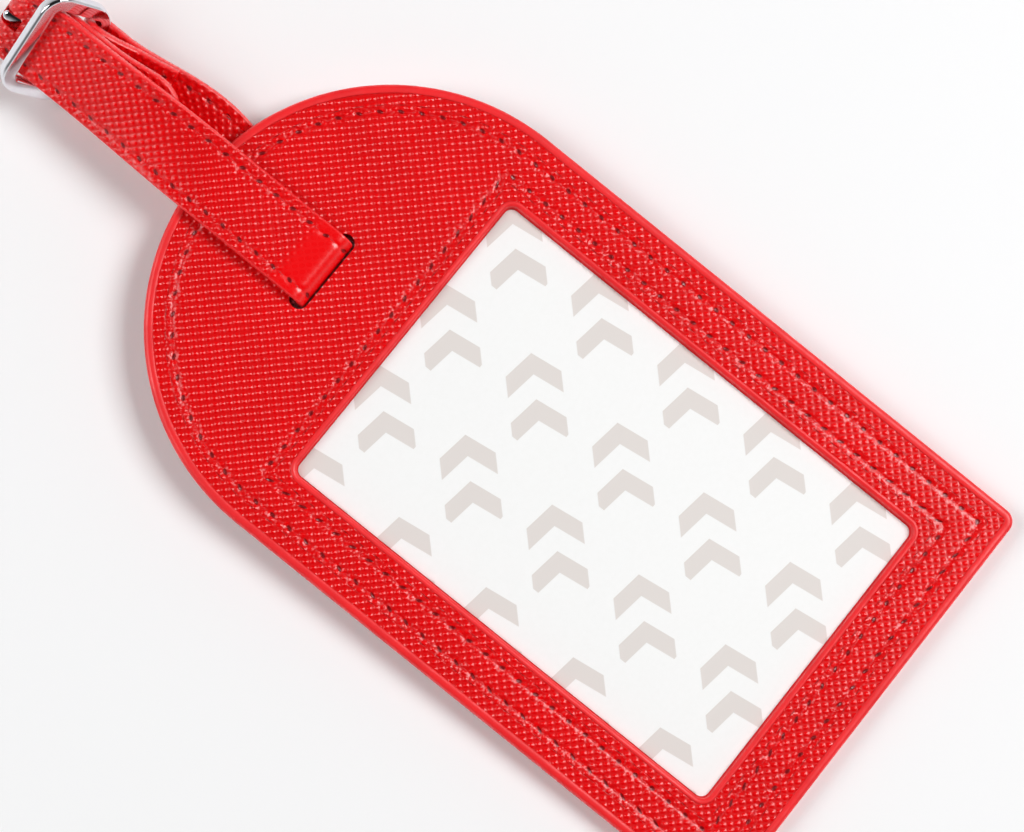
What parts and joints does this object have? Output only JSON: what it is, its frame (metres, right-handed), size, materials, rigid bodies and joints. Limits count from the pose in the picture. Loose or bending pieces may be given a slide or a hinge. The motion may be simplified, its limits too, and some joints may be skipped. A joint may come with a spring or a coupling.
{
  "type": "luggage tag",
  "caption": "Arched red leather luggage tag with a stitched border, a window with a peel-off backing sheet, and a buckled loop strap.",
  "frame": {"origin": "middle of the tag's flat back face", "axes": "+X across the tag, +Y along it towards the strap, +Z out of the windowed face"},
  "size_m": [0.07, 0.1564, 0.016],
  "materials": {
    "red_leather": "glossy cross-grain",
    "edge_paint": "smooth satin edge paint",
    "thread": "twisted polyester thread",
    "board": "matte",
    "adhesive": "clear film",
    "liner": "smooth siliconed paper",
    "chrome": "polished"
  },
  "bodies": {
    "tag": {"front_panel": "red_leather", "front_stiffener": "board", "back_stiffener": "board", "back_panel": "red_leather", "adhesive_sheet": "adhesive", "outer_edge_paint": "edge_paint", "window_edge_paint": "edge_paint", "perimeter_needle_thread": "thread", "perimeter_bobbin_thread": "thread", "window_needle_thread": "thread", "window_bobbin_thread": "thread"},
    "liner": {"release_liner": "liner"},
    "strap_root": {"strap_root_outer": "red_leather", "strap_root_inner": "red_leather", "strap_root_thread_left": "thread", "strap_root_thread_right": "thread"},
    "strap_loop": {"strap_front_outer": "red_leather", "strap_front_inner": "red_leather", "strap_front_thread_left": "thread", "strap_front_thread_right": "thread", "strap_rear_outer": "red_leather", "strap_rear_inner": "red_leather", "strap_rear_thread_left": "thread", "strap_rear_thread_right": "thread"},
    "frame": {"buckle_frame": "chrome"},
    "prong": {"buckle_prong": "chrome"}
  },
  "joints": [
    {"name": "liner_lift", "type": "slide", "parent": "tag", "child": "liner", "axis": [0, 0, 1], "range_m": [0, 0.012]},
    {"name": "strap_sway", "type": "hinge", "parent": "tag", "child": "strap_root", "pos_m": [0, 0.0381, 0.00148], "axis": [0, 0, 1], "range_deg": [-3, 3]},
    {"name": "strap_flex", "type": "hinge", "parent": "strap_root", "child": "strap_loop", "pos_m": [0, 0.065, 0.002], "axis": [1, 0, 0], "range_deg": [-22, 22]},
    {"name": "frame_tilt", "type": "hinge", "parent": "strap_loop", "child": "frame", "pos_m": [0.00278, 0.084, 0.00143], "axis": [0.848, 0, 0.5299], "range_deg": [0, 20]},
    {"name": "prong_pivot", "type": "hinge", "parent": "strap_loop", "child": "prong", "pos_m": [0.00278, 0.084, 0.00143], "axis": [0.848, 0, 0.5299], "range_deg": [-1.5, 1.5]}
  ]
}
